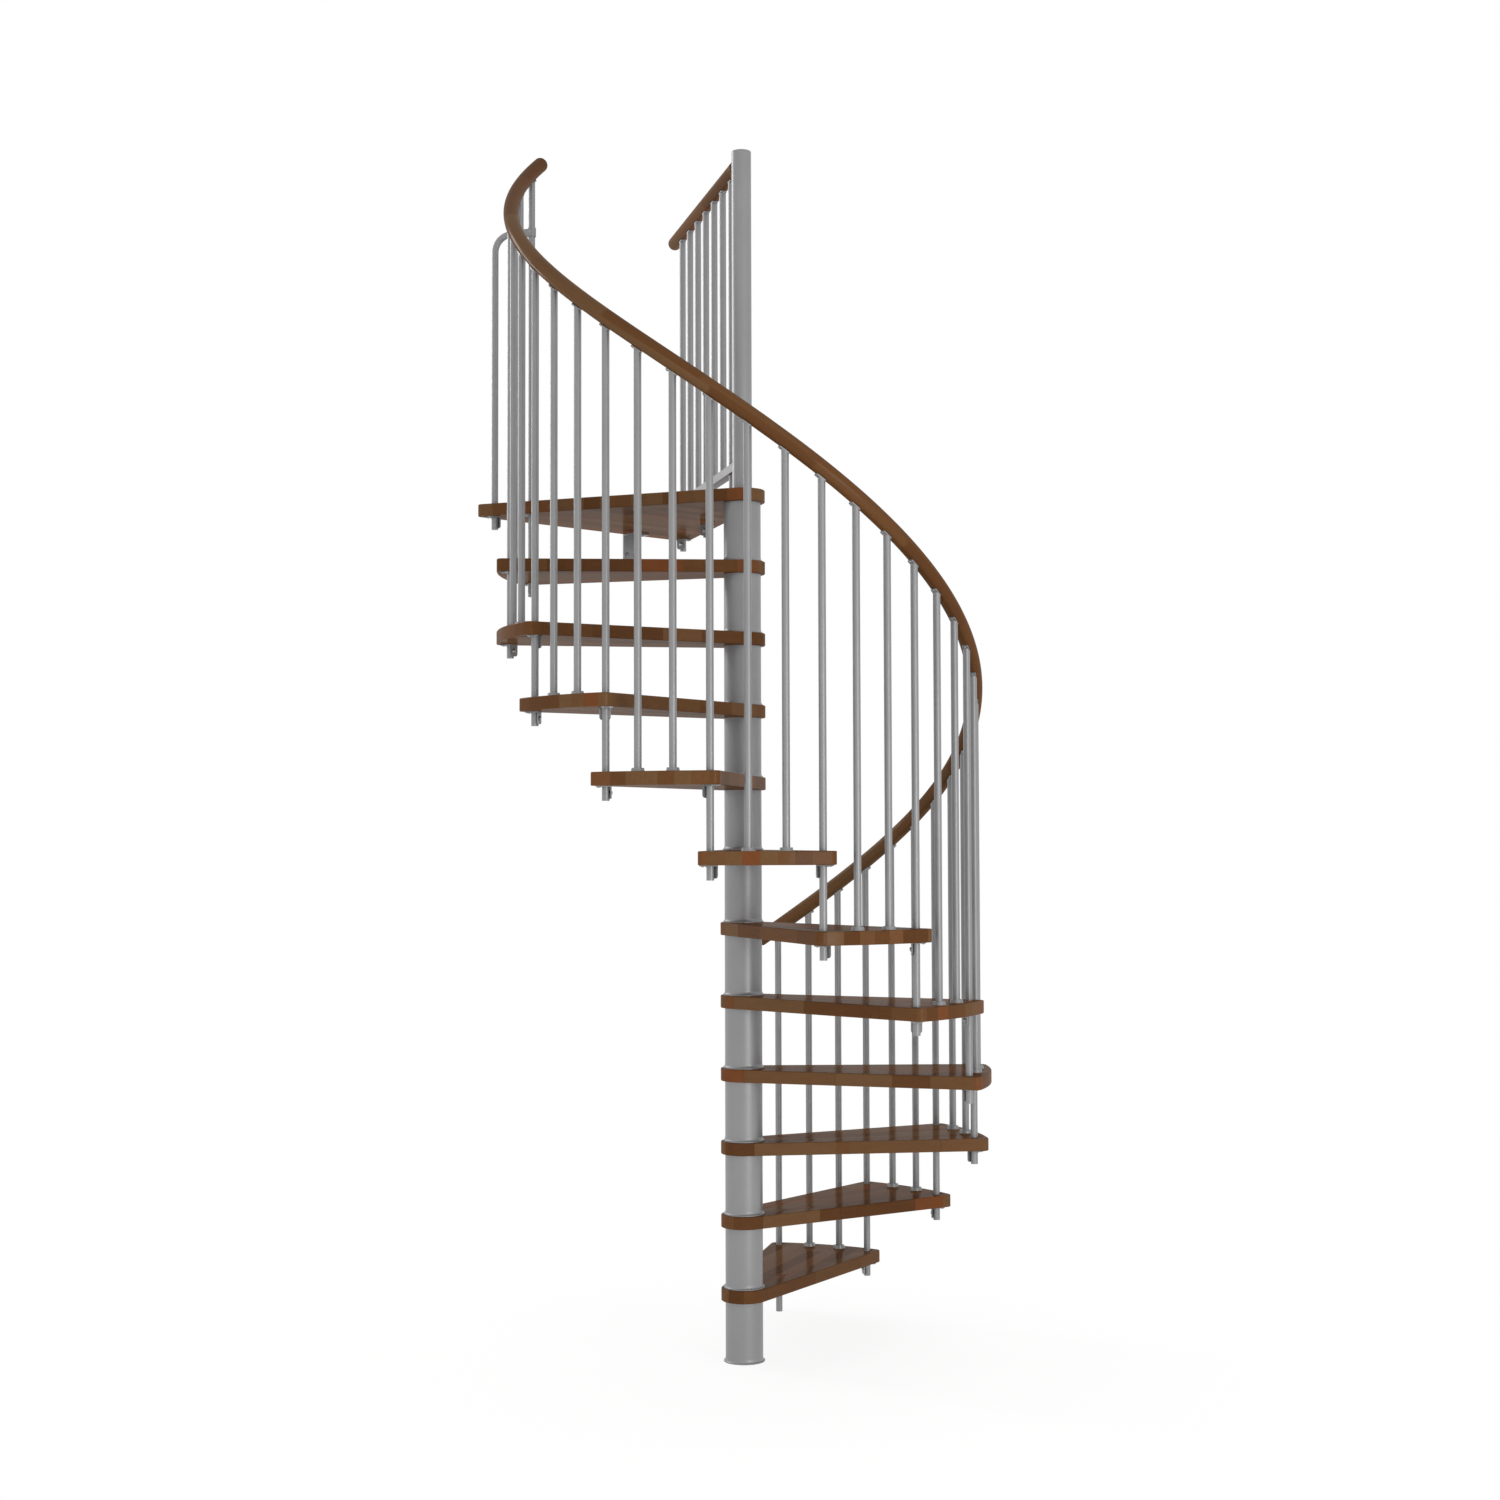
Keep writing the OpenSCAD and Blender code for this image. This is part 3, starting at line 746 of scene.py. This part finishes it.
def screw(bm, place, radius, tall, washer=0, shank=0):
    """Button head with a hexagon socket, standing on local Z = 0 or on a washer, over a shank."""
    if shank:
        lathe(bm, place, [(-shank, disc(radius / 2)), (0, disc(radius / 2))])
    if washer:
        rim = 1.2 * radius
        lathe(bm, place, [(0, disc(rim)), (0.7 * washer, disc(rim)), (washer, disc(rim - 0.3 * washer))])
    # The dome's rings and the socket's floor are shares of the head's height and radius.
    dome = [(0, 1), (0.3, 1), (0.62, 0.93), (0.86, 0.77), (1, 0.56)]
    socket = hexagon(0.34 * radius)
    rings = [(washer + h * tall, disc(w * radius)) for h, w in dome]
    lathe(bm, place, rings + [(washer + tall, socket), (washer + 0.4 * tall, socket)])


def bracket_screws(bm, radius, line, top, side):
    """Screw in the slot of an angle bracket and two screws in its flange."""
    s = sizes()
    washer, shank = 1 * MM, 4.5 * MM
    flange_reach, flange_aside = 18.4 * MM, 8.5 * MM
    here = Matrix.Translation((*polar(radius, line), top - s.thick))
    here @= Matrix.Rotation(line + math.pi + side * s.bracket_turn, 4, "Z")
    face = s.tube + s.bracket_gap + s.bracket_sheet
    slot = Matrix.Translation((face, 0, -(s.bracket_leg + s.bracket_sheet) / 2))
    screw(bm, here @ slot @ Matrix.Rotation(math.pi / 2, 4, "Y"), *SLOT_HEAD, washer, shank)
    for aside in (-flange_aside, flange_aside):
        below = Matrix.Translation((-flange_reach, aside, -s.bracket_sheet))
        screw(bm, here @ below @ UPSIDE_DOWN, *FLANGE_HEAD)


def landing_rail_posts():
    """Distances of the landing rail's uprights from the newel axis."""
    s = sizes()
    step = (post_radius() - s.guard_start) / s.guard_bays
    return [s.guard_start + step * i for i in range(s.guard_bays + 1)]


def tread_bracket_screws():
    """Screws of the two brackets below each tread."""
    s = sizes()
    bm = bmesh.new()
    for k, node in enumerate(TREADS):
        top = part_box(node)[1].z
        bracket_screws(bm, s.ring, baluster_line(k * s.per_step), top, 1)
        bracket_screws(bm, s.ring, baluster_line((k + 1) * s.per_step), top, -1)
    return bm


def landing_bracket_screws():
    """Screws of the brackets below the landing."""
    s = sizes()
    bm = bmesh.new()
    for radius in (s.ring, post_radius()):
        bracket_screws(bm, radius, front_line(), LANDING_TOP.z, 1)
    for radius in landing_rail_posts()[:: s.guard_bays // 2]:
        bracket_screws(bm, radius, rear_line(), LANDING_TOP.z, -1)
    return bm


def saddle_drop():
    """Distance from a rail's axis to the lower face of its saddle plates."""
    s = sizes()
    return s.rail + s.clear + s.saddle


def handrail_saddle_screws():
    """One screw in each sloping plate below the handrail, uphill of its baluster."""
    s = sizes()
    bm = bmesh.new()
    downhill = 0.2 * MM
    below = Matrix.Translation((-downhill, 0, -saddle_drop()))
    for index in range(len(TREADS) * s.per_step + 1):
        line = baluster_line(index)
        tilt = Matrix.Rotation(line - math.pi / 2, 4, "Z") @ Matrix.Rotation(-rail_slope(), 4, "Y")
        seat = Matrix.Translation((*polar(s.ring, line), rail_z(index))) @ tilt
        screw(bm, seat @ below @ UPSIDE_DOWN, *HANDRAIL_HEAD)
    return bm


def landing_saddle_screws():
    """Two screws in each plate below the landing rail."""
    bm = bmesh.new()
    aside = 13.5 * MM
    z = (RAIL_LOW.z + RAIL_TOP.z) / 2 - saddle_drop()
    for post in landing_rail_posts():
        for radius in (post - aside, post + aside):
            place = Matrix.Translation((*polar(radius, rear_line()), z))
            screw(bm, place @ UPSIDE_DOWN, *LANDING_RAIL_HEAD)
    return bm


def corner_clamp_screw():
    """Screw in the side of the corner tube's clamp."""
    s = sizes()
    bm = bmesh.new()
    clamp_face = 12.3 * MM
    low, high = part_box("corner_clamp")
    middle = Matrix.Translation((*polar(s.ring, front_line()), (low.z + high.z) / 2))
    side = Matrix.Rotation(front_line() + math.pi / 2, 4, "Z") @ Matrix.Translation((clamp_face, 0, 0))
    screw(bm, middle @ side @ Matrix.Rotation(math.pi / 2, 4, "Y"), *CLAMP_HEAD)
    return bm


def upper_floor_screws():
    """Low heads in the plate for the upper floor: two over its bolt holes and four below the landing."""
    bm = bmesh.new()
    low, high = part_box("upper_floor_bracket")
    plate, half_pitch, bolt_up, depths = 5 * MM, 16 * MM, 30 * MM, (20 * MM, 44 * MM)
    for aside in (-half_pitch, half_pitch):
        x = (low.x + high.x) / 2 + aside
        hole = Matrix.Translation((x, high.y - plate, low.z + bolt_up))
        screw(bm, hole @ Matrix.Rotation(math.pi / 2, 4, "X"), *PLATE_BOLT_HEAD)
        for depth in depths:
            below = Matrix.Translation((x, high.y - depth, high.z - plate))
            screw(bm, below @ UPSIDE_DOWN, *PLATE_SCREW_HEAD)
    return bm


class STAIR_OT_screws(bpy.types.Operator):
    """Plated screws of the brackets, saddles and clamp, and painted ones of the upper plate"""

    bl_idname = "stair.screws"
    bl_label = "Screws"

    def execute(self, context):
        zinc, paint = finish(zinc_plated_steel), finish(powder_coated_steel)
        new_piece("tread_bracket_screws", tread_bracket_screws(), zinc)
        new_piece("landing_bracket_screws", landing_bracket_screws(), zinc)
        new_piece("handrail_saddle_screws", handrail_saddle_screws(), zinc)
        new_piece("landing_saddle_screws", landing_saddle_screws(), zinc)
        new_piece("corner_clamp_screw", corner_clamp_screw(), zinc)
        new_piece("upper_floor_screws", upper_floor_screws(), paint)
        return {"FINISHED"}


def lay_floor(scene):
    """Pale floor, far wider than the view."""
    half_width = 60
    data = bpy.data.meshes.new("floor")
    bm = bmesh.new()
    bmesh.ops.create_grid(bm, x_segments=1, y_segments=1, size=half_width)
    bm.to_mesh(data)
    bm.free()
    data.materials.append(finish(pale_floor))
    floor = bpy.data.objects.new("floor", data)
    scene.collection.objects.link(floor)


def whiten_surroundings(scene):
    """Surroundings that are white to the camera and in reflections, and a soft light elsewhere."""
    world = bpy.data.worlds.new("white_studio")
    world.use_nodes = True
    scene.world = world
    tree = world.node_tree
    soft = tree.nodes["Background"]
    soft.inputs["Color"].default_value = (1, 1, 1, 1)
    soft.inputs["Strength"].default_value = scene.stair_stage.ambient
    white = add(tree, "ShaderNodeBackground", {"Color": (1, 1, 1, 1), "Strength": 1}).outputs[0]
    shown = seen_straight(tree)
    mixed = add(tree, "ShaderNodeMixShader", {0: shown, 1: soft.outputs[0], 2: white}).outputs[0]
    tree.links.new(mixed, tree.nodes["World Output"].inputs["Surface"])


def hang_lamps(scene, turned):
    """Soft lamps. Places are to the right of, beyond and above the newel's foot, as the camera sees it."""
    stage = scene.stair_stage
    # Name, place, height aimed at, power, width, height and whether reflections show it
    lamps = [
        ("key", Vector((3.1, -5.4, 1.4)), 1.4, stage.key, 2.2, 2.2, True),
        ("fill", Vector((5.6, -3.6, 2.2)), 1.6, stage.fill, 4.0, 3.6, False),
        ("low", Vector((-1.6, -4.6, 0.3)), 2.2, stage.low, 5.0, 0.5, False),
        ("rim", Vector((-4.2, 3.0, 4.2)), 2.9, stage.rim, 1.0, 2.6, True),
    ]
    for name, place, aim, power, width, tall, mirrored in lamps:
        lamp = bpy.data.lights.new(name, "AREA")
        lamp.energy, lamp.shape, lamp.size, lamp.size_y = power, "RECTANGLE", width, tall
        holder = bpy.data.objects.new(name, lamp)
        spot = turned @ place
        holder.location = spot
        holder.rotation_mode = "QUATERNION"
        holder.rotation_quaternion = (Vector((0, 0, aim)) - spot).to_track_quat("-Z", "Y")
        holder.visible_glossy = mirrored
        scene.collection.objects.link(holder)


def set_camera(scene, turned):
    """Camera at the photograph's viewing angle."""
    stage = scene.stair_stage
    flat = math.cos(stage.pitch)
    ahead = Vector((math.sin(stage.yaw) * flat, math.cos(stage.yaw) * flat, math.sin(stage.pitch)))
    level = Vector((math.cos(stage.yaw), -math.sin(stage.yaw), 0))
    rolled = Matrix.Rotation(-stage.roll, 3, ahead)
    right = rolled @ level
    upward = rolled @ level.cross(ahead)
    aimed = Matrix((right, upward, -ahead)).transposed().to_4x4()
    aimed.translation = (0, -stage.distance, stage.height)
    lens = bpy.data.cameras.new("camera")
    lens.lens, lens.sensor_width, lens.clip_end = stage.lens, 36, 200
    camera = bpy.data.objects.new("camera", lens)
    camera.matrix_world = turned @ aimed
    scene.collection.objects.link(camera)
    scene.camera = camera


class STAIR_OT_stage(bpy.types.Operator):
    """Pale floor, soft studio light and the camera"""

    bl_idname = "stair.stage"
    bl_label = "Stage"

    def execute(self, context):
        scene = context.scene
        scene.view_settings.view_transform = "Standard"
        turned = Matrix.Rotation(scene.stair_stage.turn, 4, "Z")
        lay_floor(scene)
        whiten_surroundings(scene)
        hang_lamps(scene, turned)
        set_camera(scene, turned)
        return {"FINISHED"}


OPERATORS = (
    STAIR_OT_stage,
    STAIR_OT_treads,
    STAIR_OT_landing,
    STAIR_OT_handrail,
    STAIR_OT_landing_rail,
    STAIR_OT_newel,
    STAIR_OT_balusters,
    STAIR_OT_fittings,
    STAIR_OT_screws,
)


class STAIR_PT_panel(bpy.types.Panel):
    """Lists the steps that dress the staircase"""

    bl_idname = "STAIR_PT_panel"
    bl_label = "Spiral staircase"
    bl_space_type = "VIEW_3D"
    bl_region_type = "UI"
    bl_category = "Stair"

    def draw(self, context):
        for group in (context.scene.stair_sizes, context.scene.stair_colours, context.scene.stair_stage):
            for name in group.__annotations__:
                self.layout.prop(group, name)
        for step in OPERATORS:
            self.layout.operator(step.bl_idname)


GROUPS = {"stair_sizes": StairSizes, "stair_colours": StairColours, "stair_stage": StageSettings}


def register():
    for group in GROUPS.values():
        bpy.utils.register_class(group)
    for step in (*OPERATORS, STAIR_PT_panel):
        bpy.utils.register_class(step)
    for name, group in GROUPS.items():
        setattr(bpy.types.Scene, name, PointerProperty(type=group))


def unregister():
    for name in GROUPS:
        delattr(bpy.types.Scene, name)
    for step in (STAIR_PT_panel, *reversed(OPERATORS)):
        bpy.utils.unregister_class(step)
    for group in GROUPS.values():
        bpy.utils.unregister_class(group)


def main():
    register()
    for step in OPERATORS:
        family, name = step.bl_idname.split(".")
        getattr(getattr(bpy.ops, family), name)()


if __name__ == "__main__":
    main()
